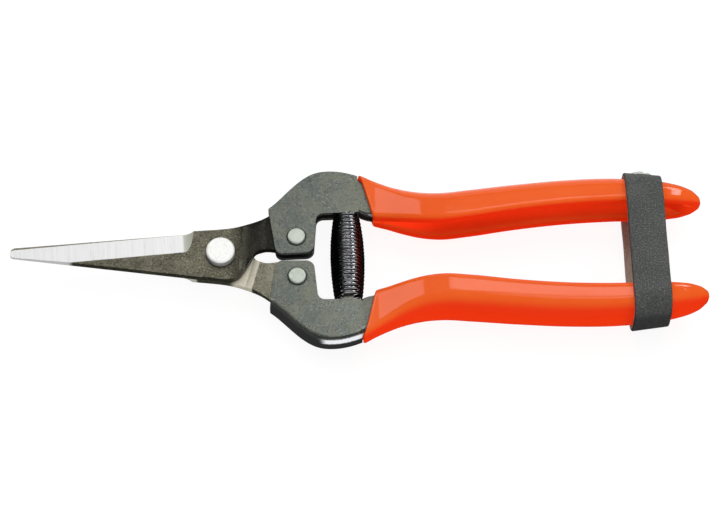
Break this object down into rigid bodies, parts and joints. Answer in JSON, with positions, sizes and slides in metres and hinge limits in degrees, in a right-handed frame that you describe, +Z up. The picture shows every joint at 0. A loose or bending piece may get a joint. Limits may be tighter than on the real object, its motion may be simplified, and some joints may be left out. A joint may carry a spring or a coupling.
{
  "type": "floral snips",
  "caption": "Closed floral snips: narrow pointed blades crossing on a pivot bolt, folded channel handles with vinyl grips, a barrel return spring and a leather closing strap.",
  "frame": {"origin": "under the middle of the overall length and width, at the flat side the closed snips lie on", "axes": "+X from the blade tips to the handle ends, +Y towards the handle that carries the front blade, +Z up out of the flat side, along the pivot bolt to its head"},
  "size_m": [0.19, 0.0524, 0.0173],
  "materials": {
    "blade_steel": "satin",
    "channel_steel": "satin",
    "bright_steel": "satin",
    "vinyl": "satin",
    "black_spring": "gloss",
    "leather": "matte"
  },
  "bodies": {
    "upper_half": {"front_blade": "blade_steel", "pivot_bolt": "bright_steel", "pivot_washer": "bright_steel", "pivot_nut": "bright_steel", "upper_channel": "channel_steel", "upper_tang_rivet": "bright_steel", "upper_grip": "vinyl", "return_spring": "black_spring", "strap": "leather", "strap_rivet": "bright_steel", "strap_burr": "bright_steel"},
    "lower_half": {"back_blade": "blade_steel", "lower_channel": "channel_steel", "lower_tang_rivet": "bright_steel", "lower_grip": "vinyl"}
  },
  "joints": [
    {"name": "pivot", "type": "hinge", "parent": "upper_half", "child": "lower_half", "pos_m": [-0.0372, 0.0005, 0.00865], "axis": [0, 0, -1], "range_deg": [0, 20], "deforming": ["return_spring", "strap"]}
  ]
}
